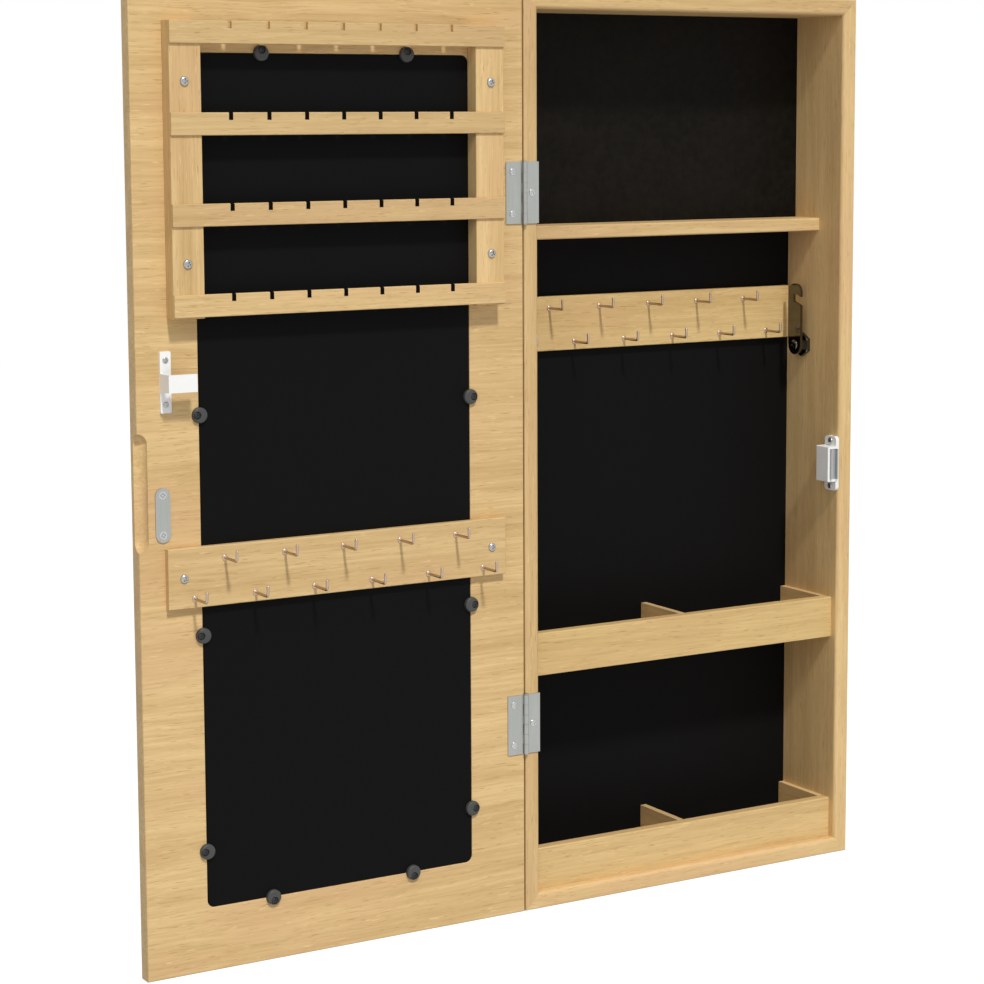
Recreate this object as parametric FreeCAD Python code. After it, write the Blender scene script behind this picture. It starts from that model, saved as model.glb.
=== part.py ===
import FreeCAD, Part
import math
import os

# A wall-hung jewellery cabinet with a mirror door, stored with the door swung wide open.
# Frame: +Z up, -Y towards the room, origin at the middle of the cabinet's back face.
# Door pieces are drawn with the door shut, then turned about the hinge pins to the open rest pose.

V = FreeCAD.Vector
UP = V(0, 0, 1)
ROOM = V(0, -1, 0)
WALL = V(0, 1, 0)
RIGHT = V(1, 0, 0)
LEFT = V(-1, 0, 0)

# ---------------------------------------------------------------- sizes, in millimetres and degrees
# cabinet box
width = 300.0
height = 670.0
box_depth = 70.0
board = 12.0
edge_round = 1.2
mouth_round = 3.0
soft_edge = 0.6
back_thickness = 3.0
back_rebate = 5.0
back_play = 0.2
brad_radius = 0.6
brad_head_radius = 1.6
brad_head_height = 0.5
brad_length = 12.0
brads_per_side = 5
brads_per_end = 3
brad_end_margin = 40.0

# top bay and shelf
top_bay_height = 155.0
shelf_thickness = 10.0
shelf_setback = 28.0
top_backing_thickness = 9.0
dowel_radius = 2.5
dowel_length = 16.0
dowel_inset = 9.0

# trays
tray_setback = 7.5
tray_front_thickness = 9.0
tray_front_height = 31.5
middle_tray_lift = 162.0
tray_floor_thickness = 6.0
tray_divider_thickness = 5.0
tray_liner_thickness = 4.5

# hook boards and hooks
hook_board_thickness = 5.0
hook_board_height = 41.0
cabinet_board_side_gap = 3.0
cabinet_board_drop = 44.5
door_board_margin = 18.5
hook_end_margin = 19.0
upper_row_hooks = 5
lower_row_hooks = 6
upper_row_rise = 11.7
lower_row_drop = 14.3
hook_wire_radius = 1.0
hook_reach = 19.0
hook_tip_rise = 6.5
hook_bend = 2.4
hook_root_cover = 1.0
hook_collar_radius = 2.1
hook_collar_height = 0.9
door_board_screw_inset = 11.5

# door and mirror
door_thickness = 12.0
door_gap = 3.0
side_gap = 1.0
door_margin = 45.0
pocket_corner = 5.0
pocket_depth = 8.0
front_lip = 6.0
glass_thickness = 3.0
mirror_play = 0.5
pull_length = 80.0
pull_radius = 7.0
clip_radius = 5.4
clip_thickness = 3.0
clip_rim = 0.5
clip_screw_play = 0.4
clip_recess_depth = 1.4
clip_round = 0.8
clip_inset_end = 49.5
clip_above_foot = 40.0
clip_below_board = 20.5
clip_below_rack = 65.5

# earring rack
rack_margin = 23.0
rack_top_margin = 24.5
rack_stile_width = 22.5
rack_stile_depth = 12.0
rail_height = 15.0
rail_thickness = 3.0
rail_pitch = 59.7
rails = 4
rail_proud = 1.6
rack_foot = 0.9
slots_per_rail = 7
slot_end_margin = 20.5
slot_width = 3.0
slot_depth = 5.0
rack_screw_inset = 10.5
rack_screw_drop = 2.0

# butt hinges
hinge_inset = 141.5
hinge_length = 44.0
hinge_knuckles = 6
knuckle_play = 0.15
barrel_radius = 2.0
barrel_clearance = 0.3
hinge_pin_radius = 1.0
pin_play = 0.05
pin_cap_radius = 1.5
pin_cap_height = 0.6
leaf_thickness = 1.0
door_leaf_width = 14.5
frame_leaf_width = 11.7
door_leaf_screw_x = 9.0
door_leaf_screw_spread = 15.0
frame_leaf_screw_x = 6.2

# magnetic catch and its plate
catch_drop = 22.7
catch_depth = 10.6
catch_length = 15.0
catch_body_height = 27.5
catch_ear_length = 7.6
catch_ear_thickness = 3.0
catch_ear_width = 14.0
catch_ear_corner = 3.0
catch_screw_inset = 3.65
catch_wall = 1.8
pole_thickness = 1.2
pole_gap = 0.3
magnet_thickness = 4.6
catch_play = 0.1
plate_width = 10.7
plate_length = 37.0
plate_thickness = 1.0
plate_rise = 7.2
plate_screw_inset = 5.0
door_board_gap = 4.5

# cam lock and the strike that it hooks
lock_setback = 46.0
lock_drop = 90.4
lock_throw = 70.0
barrel_body_radius = 6.0
barrel_flange_radius = 9.0
barrel_flange_height = 2.0
barrel_flange_round = 0.8
barrel_reach = 6.9
barrel_play = 0.1
plug_radius = 4.0
plug_head_radius = 5.2
plug_head_sink = 1.0
plug_play = 0.05
key_slot_width = 1.5
key_slot_height = 6.0
key_slot_depth = 9.0
nut_across_flats = 16.5
nut_thickness = 3.2
cam_thickness = 2.2
cam_width = 15.0
cam_nose = 8.5
cam_gap = 0.3
cam_square = 5.0
notch_start = 31.5
notch_width = 8.5
notch_slant = 3.0
notch_nose = 1.8
notch_spine = 6.0
grip_side = 0.45
strike_flange_width = 7.8
strike_flange_height = 41.2
strike_flange_thickness = 2.0
strike_corner = 1.0
strike_leg_thickness = 2.0
strike_leg_gap = 0.5
tongue_length = 20.6
tongue_height = 11.9
tongue_thickness = 1.5
strike_screw_spread = 14.8

# keyhole hanger plates in the back
hanger_inset = 60.0
hanger_drop = 55.0
hanger_width = 18.0
hanger_thickness = 1.5
hanger_corner = 3.0
keyhole_radius = 4.5
keyhole_slot_width = 4.5
keyhole_rise = 9.0
hanger_screw_inset = 5.5
hanger_land = 4.5
keyhole_pocket_depth = 6.0
keyhole_pocket_margin = 1.5

# screws: head radius, head height, shank radius, shank length
rack_screw = (3.2, 1.9, 1.5, 22.0)
board_screw = (3.0, 1.7, 1.4, 14.0)
clip_screw = (2.3, 1.0, 1.1, 9.0)
hinge_door_screw = (2.6, 0.8, 1.2, 9.0)
hinge_frame_screw = (2.6, 0.8, 1.2, 14.0)
catch_screw = (2.4, 1.2, 1.2, 11.0)
strike_screw = (2.1, 1.0, 1.1, 9.0)
plate_screw = (2.8, 1.6, 1.2, 9.0)
hanger_screw = (2.8, 1.3, 1.2, 9.0)
cam_screw = (4.0, 1.4, 1.4, 6.0)
shank_play = 0.05

# ---------------------------------------------------------------- levels worked out from the sizes
half_width = width / 2
half_height = height / 2
inner_x = half_width - board
inner_z = half_height - board
front_y = -box_depth
inner_back = -back_thickness
shelf_top = inner_z - top_bay_height
shelf_bottom = shelf_top - shelf_thickness
hinge_x = -half_width - side_gap / 2
hinge_y = front_y - door_gap / 2
door_face = front_y - door_gap
door_front = door_face - door_thickness
pocket_half_width = half_width - door_margin
pocket_half_height = half_height - door_margin
lock_y = front_y + lock_setback
lock_z = shelf_bottom - lock_drop
catch_z = -catch_drop
plate_z = catch_z + plate_rise
door_board_width = width - 2 * door_board_margin
door_board_top = plate_z - plate_length / 2 - door_board_gap
door_board_centre = door_board_top - hook_board_height / 2
hook_pitch = (door_board_width - 2 * hook_end_margin) / (lower_row_hooks - 1)
hook_root = hook_board_thickness - hook_root_cover
rack_width = width - 2 * rack_margin
rack_top = half_height - rack_top_margin
rack_bottom = rack_top - (rails - 1) * rail_pitch - rail_height - rack_foot
slot_pitch = (rack_width - 2 * rack_stile_width - 2 * slot_end_margin) / (slots_per_rail - 1)


# ---------------------------------------------------------------- small shape helpers
def block(x0, x1, y0, y1, z0, z1):
    return Part.makeBox(x1 - x0, y1 - y0, z1 - z0, V(x0, y0, z0))


def rod(start, direction, radius, length):
    return Part.makeCylinder(radius, length, start, direction)


def cut_all(shape, tools):
    return shape.cut(tools) if tools else shape


def runs_along(edge, axis):
    if len(edge.Vertexes) < 2:
        return False
    span = edge.Vertexes[1].Point - edge.Vertexes[0].Point
    return span.Length > 1e-6 and abs(span.normalize().dot(axis)) > 0.999


def round_edges(shape, radius, wanted):
    edges = [edge for edge in shape.Edges if wanted(edge)]
    return shape.makeFillet(radius, edges) if edges else shape


def round_along(shape, radius, axis):
    return round_edges(shape, radius, lambda edge: runs_along(edge, axis))


def rounded_slab(half_x, half_z, corner, y0, y1):
    slab = block(-half_x, half_x, y0, y1, -half_z, half_z)
    return round_along(slab, corner, WALL)


def turned(shape, direction):
    shape.Placement = FreeCAD.Placement(V(0, 0, 0), FreeCAD.Rotation(UP, direction))
    return shape


def placed(shape, point):
    copy = shape.copy()
    copy.translate(point)
    return copy


def opened(shape):
    copy = shape.copy()
    copy.rotate(V(hinge_x, hinge_y, 0), UP, 180)
    return copy


def export(name, solids):
    parts = solids if isinstance(solids, list) else [solids]
    found = [solid for part in parts for solid in part.Solids]
    for solid in found:
        if not solid.isValid():
            print("INVALID", name)
    shape = found[0] if len(found) == 1 else Part.makeCompound(found)
    shape.exportStep("parts/" + name + ".step")
    print(name, len(found), "solids", round(sum(solid.Volume for solid in found), 1), "mm3")


# ---------------------------------------------------------------- fasteners
def dome_head(radius, rise):
    ball = (radius * radius + rise * rise) / (2 * rise)
    cap = Part.makeSphere(ball, V(0, 0, rise - ball))
    return cap.common(Part.makeCylinder(radius, rise, V(0, 0, 0), UP))


def cross_recess(radius, top, depth):
    arm = radius * 0.22
    reach = radius * 0.62
    first = block(-reach, reach, -arm, arm, top - depth, top + depth)
    second = block(-arm, arm, -reach, reach, top - depth, top + depth)
    return first.fuse(second)


def shank(radius, length):
    point = radius * 1.6
    body = Part.makeCylinder(radius, length - point, V(0, 0, -length + point), UP)
    return body.fuse(Part.makeCone(radius * 0.15, radius, point, V(0, 0, -length), UP))


def pan_screw(size, direction):
    head_radius, head_height, shank_radius, length = size
    rim = head_height * 0.35
    head = Part.makeCylinder(head_radius, rim, V(0, 0, 0), UP)
    dome = dome_head(head_radius, head_height - rim)
    dome.translate(V(0, 0, rim))
    screw = head.fuse([dome, shank(shank_radius, length)]).removeSplitter()
    screw = screw.cut(cross_recess(head_radius, head_height, head_height * 0.55))
    return turned(screw, direction)


def flush_screw(size, direction):
    head_radius, head_height, shank_radius, length = size
    cone = Part.makeCone(shank_radius, head_radius, head_height, V(0, 0, -head_height), UP)
    screw = cone.fuse(shank(shank_radius, length)).removeSplitter()
    screw = screw.cut(cross_recess(head_radius, 0, head_height * 0.45))
    return turned(screw, direction)


def pilot(size, point, direction):
    shank_radius = size[2] + shank_play
    return rod(point + direction * 0.01, direction * -1, shank_radius, size[3] + 0.3)


def sink(size, point, direction):
    head_radius, head_height, shank_radius, length = size
    cone = Part.makeCone(shank_radius + shank_play, head_radius + shank_play, head_height,
                         V(0, 0, -head_height), UP)
    mouth = Part.makeCylinder(head_radius + shank_play, 0.2, V(0, 0, 0), UP)
    hole = turned(cone.fuse(mouth), direction)
    return placed(hole, point).fuse(pilot(size, point, direction))


def screws_at(points, size, direction, maker=pan_screw):
    return [placed(maker(size, direction), point) for point in points]


def pilots_at(points, size, direction):
    return [pilot(size, point, direction) for point in points]


# ---------------------------------------------------------------- where the fasteners and hooks sit
def hook_points(face_y, centre_z):
    points = []
    for count, level in ((upper_row_hooks, upper_row_rise), (lower_row_hooks, -lower_row_drop)):
        for index in range(count):
            x = (index - (count - 1) / 2) * hook_pitch
            points.append(V(x, face_y, centre_z + level))
    return points


cabinet_board_centre = shelf_bottom - cabinet_board_drop - hook_board_height / 2
cabinet_board_face = inner_back - hook_board_thickness
door_board_face = door_face + hook_board_thickness
cabinet_hook_points = hook_points(cabinet_board_face, cabinet_board_centre)
door_hook_points = hook_points(door_board_face, door_board_centre)

board_screw_x = door_board_width / 2 - door_board_screw_inset
door_board_points = [V(x, door_board_face, door_board_centre) for x in (-board_screw_x, board_screw_x)]

rack_face = door_face + rack_stile_depth
rail_face = rack_face + rail_proud
rack_screw_x = rack_width / 2 - rack_screw_inset
rack_screw_top = rack_top - (rail_height + rail_pitch) / 2 - rack_screw_drop
rack_points = [V(x, rack_face, z) for x in (-rack_screw_x, rack_screw_x)
               for z in (rack_screw_top, rack_screw_top - (rails - 2) * rail_pitch)]

clip_x = pocket_half_width - clip_inset_end
clip_levels = (-pocket_half_height + clip_above_foot, door_board_top - hook_board_height - clip_below_board,
               rack_bottom - clip_below_rack)
clip_points = [V(x, door_face, z) for x in (-clip_x, clip_x)
               for z in (-pocket_half_height, pocket_half_height)]
clip_points += [V(x, door_face, z) for x in (-pocket_half_width, pocket_half_width) for z in clip_levels]
clip_recess_radius = clip_screw[0] + clip_screw_play
clip_screw_offset = clip_radius - clip_rim - clip_recess_radius


def clip_screw_point(point):
    outward_x = math.copysign(clip_screw_offset, point.x) if abs(point.x) >= pocket_half_width else 0.0
    outward_z = math.copysign(clip_screw_offset, point.z) if abs(point.z) >= pocket_half_height else 0.0
    seat = clip_thickness - clip_recess_depth
    return point + V(outward_x, seat, outward_z)


clip_screw_points = [clip_screw_point(point) for point in clip_points]

hinge_levels = (half_height - hinge_inset, -half_height + hinge_inset)
leaf_face_door = door_face + leaf_thickness
leaf_face_frame = front_y - leaf_thickness
hinge_door_points = [V(-half_width + door_leaf_screw_x, leaf_face_door, level + spread)
                     for level in hinge_levels
                     for spread in (door_leaf_screw_spread, -door_leaf_screw_spread)]
hinge_frame_points = [V(-half_width + frame_leaf_screw_x, leaf_face_frame, level) for level in hinge_levels]

catch_mid_y = front_y + catch_ear_width / 2
catch_half_height = catch_body_height / 2 + catch_ear_length
catch_screw_spread = catch_half_height - catch_screw_inset
pole_reach = door_gap - plate_thickness - pole_gap
catch_points = [V(inner_x - catch_ear_thickness, catch_mid_y, catch_z + spread)
                for spread in (catch_screw_spread, -catch_screw_spread)]
pole_stack = 2 * pole_thickness + magnet_thickness
plate_x = inner_x - catch_depth / 2
plate_screw_spread = plate_length / 2 - plate_screw_inset
plate_face = door_face + plate_thickness
plate_points = [V(plate_x, plate_face, plate_z + spread)
                for spread in (plate_screw_spread, -plate_screw_spread)]

# the cam swings forward by lock_throw and its notch drops over the tongue of the strike
throw = math.radians(lock_throw)
notch_end = notch_start + notch_width
grip_radius = (notch_start + notch_end) / 2
cam_length = notch_end + cam_nose
cam_right = inner_x - barrel_reach - cam_gap
cam_left = cam_right - cam_thickness
strike_outer = cam_right + strike_leg_gap + strike_leg_thickness
tongue_mid_y = lock_y - grip_radius * math.sin(throw) - grip_side * math.cos(throw)
tongue_top = lock_z + grip_radius * math.cos(throw) - grip_side * math.sin(throw)
strike_z = tongue_top - tongue_height / 2
strike_face = door_face + strike_flange_thickness
strike_screw_x = strike_outer - strike_flange_width / 2
strike_points = [V(strike_screw_x, strike_face, strike_z + spread)
                 for spread in (strike_screw_spread, -strike_screw_spread)]

hanger_x = half_width - hanger_inset
hanger_z = half_height - hanger_drop
hanger_points = [V(x, 0, hanger_z) for x in (-hanger_x, hanger_x)]
keyhole_pocket_radius = keyhole_radius + keyhole_pocket_margin
hanger_screw_spread = keyhole_rise + keyhole_pocket_radius + hanger_land
hanger_length = 2 * (hanger_screw_spread + hanger_screw_inset)
hanger_screw_points = [point + V(0, 0, spread) for point in hanger_points
                       for spread in (hanger_screw_spread, -hanger_screw_spread)]

tray_front_y = front_y + tray_setback
tray_back_of_front = tray_front_y + tray_front_thickness
middle_tray_bottom = -inner_z + middle_tray_lift
tray_levels = {"middle": middle_tray_bottom, "lower": -inner_z}


def dowel_points():
    points = []
    shelf_mid = shelf_top - shelf_thickness / 2
    for side in (-inner_x, inner_x):
        points.append(V(side, front_y + shelf_setback + dowel_inset, shelf_mid))
        points.append(V(side, inner_back - dowel_inset, shelf_mid))
    return points


def tray_dowel_points():
    points = []
    for bottom in tray_levels.values():
        for side in (-inner_x, inner_x):
            for rise in (dowel_inset, tray_front_height - dowel_inset):
                points.append(V(side, tray_front_y + tray_front_thickness / 2, bottom + rise))
    return points


def dowels_at(points, radius, length):
    return [rod(point - RIGHT * (length / 2), RIGHT, radius, length) for point in points]


# ---------------------------------------------------------------- cabinet box
def box_ring():
    ring = block(-half_width, half_width, front_y, 0, -half_height, half_height)

    def on_front(edge):
        return edge.BoundBox.YMax < front_y + 0.01

    def round_mouth(edge):
        reach_x = max(abs(edge.BoundBox.XMin), abs(edge.BoundBox.XMax))
        reach_z = max(abs(edge.BoundBox.ZMin), abs(edge.BoundBox.ZMax))
        return on_front(edge) and reach_x < inner_x + 0.01 and reach_z < inner_z + 0.01

    ring = round_edges(ring, edge_round, on_front)
    ring = ring.cut(block(-inner_x, inner_x, front_y, 0, -inner_z, inner_z))
    ring = round_edges(ring, mouth_round, round_mouth)
    reach_x = inner_x + back_rebate
    reach_z = inner_z + back_rebate
    return ring.cut(block(-reach_x, reach_x, inner_back, 0, -reach_z, reach_z))


def mitred(ring, side):
    outside = 1.0
    inside = 2 * board
    far_x, far_z = half_width + outside, half_height + outside
    near_x, near_z = half_width - inside, half_height - inside
    corners = [V(far_x, 0, far_z), V(near_x, 0, near_z), V(near_x, 0, -near_z), V(far_x, 0, -far_z)]
    if side in ("top", "bottom"):
        corners = [V(far_x, 0, far_z), V(near_x, 0, near_z), V(-near_x, 0, near_z), V(-far_x, 0, far_z)]
    sign_x = -1 if side == "left" else 1
    sign_z = -1 if side == "bottom" else 1
    corners = [V(point.x * sign_x, -box_depth - outside, point.z * sign_z) for point in corners]
    wedge = Part.Face(Part.makePolygon(corners + corners[:1])).extrude(V(0, box_depth + 2 * outside, 0))
    return ring.common(wedge)


def hinge_notches():
    notches = []
    for level in hinge_levels:
        start = V(hinge_x, hinge_y, level - hinge_length / 2 - barrel_clearance - pin_cap_height)
        length = hinge_length + 2 * (barrel_clearance + pin_cap_height)
        notches.append(rod(start, UP, barrel_radius + barrel_clearance, length))
    return notches


def brad_points():
    middle_x = inner_x + back_rebate / 2
    middle_z = inner_z + back_rebate / 2
    points = []
    for side in (-1, 1):
        for index in range(brads_per_side):
            share = index / (brads_per_side - 1) - 0.5
            points.append(V(side * middle_x, 0, share * 2 * (half_height - brad_end_margin)))
        for index in range(brads_per_end):
            share = index / (brads_per_end - 1) - 0.5
            points.append(V(share * 2 * (half_width - brad_end_margin), 0, side * middle_z))
    return points


def brad(play):
    nail = rod(V(0, 0, 0), ROOM, brad_radius + play, brad_length)
    return nail.fuse(rod(V(0, 0, 0), ROOM, brad_head_radius + play, brad_head_height))


def keyhole(radius, slot_width, y0, depth):
    round_part = rod(V(0, y0, 0), ROOM, radius, depth)
    slot = block(-slot_width / 2, slot_width / 2, y0 - depth, y0, 0, keyhole_rise)
    top = rod(V(0, y0, keyhole_rise), ROOM, slot_width / 2, depth)
    return round_part.fuse([slot, top]).removeSplitter()


def hanger_pocket():
    return keyhole(keyhole_pocket_radius, 2 * keyhole_pocket_radius, 0, keyhole_pocket_depth)


def hanger_blank():
    plate = block(-hanger_width / 2, hanger_width / 2, -hanger_thickness, 0,
                  -hanger_length / 2, hanger_length / 2)
    return round_along(plate, hanger_corner, WALL)


def cabinet_box():
    ring = box_ring()
    dowels = dowels_at(dowel_points() + tray_dowel_points(), dowel_radius, dowel_length)
    nails = [placed(brad(shank_play), point) for point in brad_points()]
    lock_hole = rod(V(inner_x - 1, lock_y, lock_z), RIGHT, barrel_body_radius + barrel_play, board + 2)
    left = cut_all(mitred(ring, "left"), dowels + nails + hinge_notches()
                   + pilots_at(hinge_frame_points, hinge_frame_screw, ROOM))
    right = cut_all(mitred(ring, "right"), dowels + nails + [lock_hole]
                    + pilots_at(catch_points, catch_screw, LEFT))
    export("side_left", left)
    export("side_right", right)
    export("top_panel", cut_all(mitred(ring, "top"), nails))
    export("bottom_panel", cut_all(mitred(ring, "bottom"), nails))
    export("back_brads", [placed(brad(0), point) for point in brad_points()])
    export("shelf_dowels", dowels_at(dowel_points(), dowel_radius, dowel_length))
    export("tray_dowels", dowels_at(tray_dowel_points(), dowel_radius, dowel_length))


def back_and_top_backing():
    reach_x = inner_x + back_rebate - back_play
    reach_z = inner_z + back_rebate - back_play
    back = block(-reach_x, reach_x, inner_back, 0, -reach_z, reach_z)
    backing = block(-inner_x, inner_x, inner_back - top_backing_thickness, inner_back, shelf_top, inner_z)
    pockets = [placed(hanger_pocket(), point) for point in hanger_points]
    plates = [placed(hanger_blank(), point) for point in hanger_points]
    pilots = pilots_at([point - WALL * hanger_thickness for point in hanger_screw_points], hanger_screw, WALL)
    nails = [placed(brad(shank_play), point) for point in brad_points()]
    export("back_panel", cut_all(back, pockets + plates + pilots + nails))
    export("top_backing", cut_all(backing, pockets + pilots))


def hangers():
    blank = hanger_blank().cut(keyhole(keyhole_radius, keyhole_slot_width, 0, hanger_thickness))
    screws = screws_at(hanger_screw_points, hanger_screw, WALL, flush_screw)
    sinks = [sink(hanger_screw, point, WALL) for point in hanger_screw_points]
    export("hanger_plates", [cut_all(placed(blank, point), sinks) for point in hanger_points])
    export("hanger_screws", screws)


def shelf():
    plank = block(-inner_x, inner_x, front_y + shelf_setback, inner_back, shelf_bottom, shelf_top)

    def front_edge(edge):
        return runs_along(edge, RIGHT) and edge.BoundBox.YMax < front_y + shelf_setback + 0.01

    plank = round_edges(plank, edge_round, front_edge)
    export("shelf", cut_all(plank, dowels_at(dowel_points(), dowel_radius, dowel_length)))


def tray_walls(name, bottom):
    floor_top = bottom
    if name == "middle":
        floor_top = bottom + tray_floor_thickness
        floor = block(-inner_x, inner_x, tray_back_of_front, inner_back, bottom, floor_top)
        export("middle_tray_floor", floor)
    top = bottom + tray_front_height
    front = block(-inner_x, inner_x, tray_front_y, tray_back_of_front, bottom, top)
    front = round_edges(front, edge_round,
                        lambda edge: runs_along(edge, RIGHT) and edge.BoundBox.ZMin > top - 0.01)
    export(name + "_tray_front", cut_all(front, dowels_at(tray_dowel_points(), dowel_radius, dowel_length)))
    half = tray_divider_thickness / 2
    export(name + "_tray_divider", block(-half, half, tray_back_of_front, inner_back, floor_top, top))
    for side, outer in (("left", -inner_x), ("right", inner_x)):
        inner = outer - math.copysign(tray_liner_thickness, outer)
        liner = block(min(inner, outer), max(inner, outer), tray_back_of_front, inner_back, floor_top, top)
        export(name + "_tray_liner_" + side, liner)


# ---------------------------------------------------------------- hooks
def jewellery_hook():
    straight = hook_reach - hook_bend
    start = V(0, -hook_root, 0)
    bend_start = V(0, straight, 0)
    middle = V(0, straight + hook_bend * math.sin(math.pi / 4), hook_bend * (1 - math.cos(math.pi / 4)))
    bend_end = V(0, hook_reach, hook_bend)
    tip = V(0, hook_reach, hook_tip_rise)
    path = Part.Wire([Part.LineSegment(start, bend_start).toShape(),
                      Part.Arc(bend_start, middle, bend_end).toShape(),
                      Part.LineSegment(bend_end, tip).toShape()])
    ring = Part.Wire([Part.Circle(start, WALL, hook_wire_radius).toShape()])
    wire = path.makePipeShell([ring], True, False)
    collar = Part.makeCone(hook_collar_radius, hook_wire_radius, hook_collar_height, V(0, 0, 0), WALL)
    return wire.fuse([Part.makeSphere(hook_wire_radius, tip), collar]).removeSplitter()


def hook_holes(points, direction):
    return [rod(point, direction, hook_wire_radius + shank_play, hook_root + 0.3) for point in points]


def cabinet_hooks():
    half = inner_x - cabinet_board_side_gap
    low = cabinet_board_centre - hook_board_height / 2
    plank = block(-half, half, cabinet_board_face, inner_back, low, low + hook_board_height)
    plank = round_edges(plank, soft_edge, lambda edge: edge.BoundBox.YMax < cabinet_board_face + 0.01)
    export("cabinet_hook_board", cut_all(plank, hook_holes(cabinet_hook_points, WALL)))
    hook = jewellery_hook()
    hook.rotate(V(0, 0, 0), UP, 180)
    export("cabinet_hooks", [placed(hook, point) for point in cabinet_hook_points])


def door_hooks():
    half = door_board_width / 2
    low = door_board_top - hook_board_height
    plank = block(-half, half, door_face, door_board_face, low, door_board_top)
    plank = round_edges(plank, soft_edge, lambda edge: edge.BoundBox.YMin > door_board_face - 0.01)
    holes = hook_holes(door_hook_points, ROOM) + pilots_at(door_board_points, board_screw, WALL)
    export("door_hook_board", opened(cut_all(plank, holes)))
    hook = jewellery_hook()
    export("door_hooks", [opened(placed(hook, point)) for point in door_hook_points])
    screws = screws_at(door_board_points, board_screw, WALL)
    export("hook_board_screws", [opened(screw) for screw in screws])


# ---------------------------------------------------------------- door, mirror and clips
def finger_pull():
    reach = pull_length / 2 - pull_radius
    groove = rod(V(half_width, door_face, -reach), UP, pull_radius, 2 * reach)
    ends = [Part.makeSphere(pull_radius, V(half_width, door_face, level)) for level in (-reach, reach)]
    return groove.fuse(ends)


def door_panel():
    panel = block(-half_width, half_width, door_front, door_face, -half_height, half_height)
    panel = round_edges(panel, edge_round, lambda edge: edge.BoundBox.YLength < 0.01)
    pocket = rounded_slab(pocket_half_width, pocket_half_height, pocket_corner,
                          door_face - pocket_depth, door_face + 1)
    window = rounded_slab(pocket_half_width - front_lip, pocket_half_height - front_lip, pocket_corner,
                          door_front - 1, door_face)
    panel = panel.cut([pocket, window])

    def pocket_mouth(edge):
        box = edge.BoundBox
        inside = abs(box.XMin) < pocket_half_width + 0.01 and abs(box.ZMin) < pocket_half_height + 0.01
        return box.YMin > door_face - 0.01 and inside

    panel = round_edges(panel, soft_edge, pocket_mouth)
    pilots = pilots_at(rack_points, rack_screw, WALL) + pilots_at(door_board_points, board_screw, WALL)
    pilots += pilots_at(clip_screw_points, clip_screw, WALL)
    pilots += pilots_at(hinge_door_points, hinge_door_screw, WALL)
    pilots += pilots_at(strike_points, strike_screw, WALL)
    pilots += [sink(plate_screw, point, WALL) for point in plate_points]
    panel = cut_all(panel, [finger_pull()] + hinge_notches() + pilots)
    export("door_panel", opened(panel))


def mirror():
    half_x = pocket_half_width - mirror_play
    half_z = pocket_half_height - mirror_play
    glass_front = door_face - pocket_depth
    glass = rounded_slab(half_x, half_z, pocket_corner, glass_front, glass_front + glass_thickness)
    backing = rounded_slab(half_x, half_z, pocket_corner, glass_front + glass_thickness, door_face)
    export("mirror_glass", opened(glass))
    export("mirror_backing", opened(backing))


def mirror_clips():
    clips = []
    for point, screw_point in zip(clip_points, clip_screw_points):
        disc = rod(point, WALL, clip_radius, clip_thickness)
        disc = round_edges(disc, clip_round,
                           lambda edge: edge.BoundBox.YMin > door_face + clip_thickness - 0.01)
        recess = rod(screw_point, WALL, clip_recess_radius, clip_recess_depth + 1)
        disc = disc.cut([recess, pilot(clip_screw, screw_point, WALL)])
        clips.append(opened(disc))
    export("mirror_clips", clips)
    screws = screws_at(clip_screw_points, clip_screw, WALL)
    export("clip_screws", [opened(screw) for screw in screws])


# ---------------------------------------------------------------- earring rack
def rail_levels():
    return [rack_top - rail_height - index * rail_pitch for index in range(rails)]


def rack_rail(bottom):
    half = rack_width / 2
    rail = block(-half, half, rail_face - rail_thickness, rail_face, bottom, bottom + rail_height)
    rail = round_along(rail, soft_edge, RIGHT)
    slots = []
    for index in range(slots_per_rail):
        x = (index - (slots_per_rail - 1) / 2) * slot_pitch
        slots.append(block(x - slot_width / 2, x + slot_width / 2, door_face, rail_face + 1,
                           bottom + rail_height - slot_depth, bottom + rail_height + 1))
    return rail.cut(slots)


def earring_rack():
    half = rack_width / 2
    laps = [block(-half, half, rail_face - rail_thickness, rail_face + 1, low, low + rail_height)
            for low in rail_levels()]
    pilots = pilots_at(rack_points, rack_screw, WALL)
    for side, outer in (("left", half), ("right", -half)):
        inner = outer - math.copysign(rack_stile_width, outer)
        stile = block(min(inner, outer), max(inner, outer), door_face, rack_face, rack_bottom, rack_top)
        stile = round_along(stile, soft_edge, UP)
        export("rack_stile_" + side, opened(cut_all(stile, laps + pilots)))
    for index, low in enumerate(rail_levels()):
        export("rack_rail_" + str(index + 1), opened(rack_rail(low)))
    export("rack_screws", [opened(screw) for screw in screws_at(rack_points, rack_screw, WALL)])


# ---------------------------------------------------------------- hinges
def knuckle_spans(level, first):
    pitch = hinge_length / hinge_knuckles
    start = level - hinge_length / 2
    return [(start + index * pitch + knuckle_play / 2, start + (index + 1) * pitch - knuckle_play / 2)
            for index in range(first, hinge_knuckles, 2)]


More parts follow.
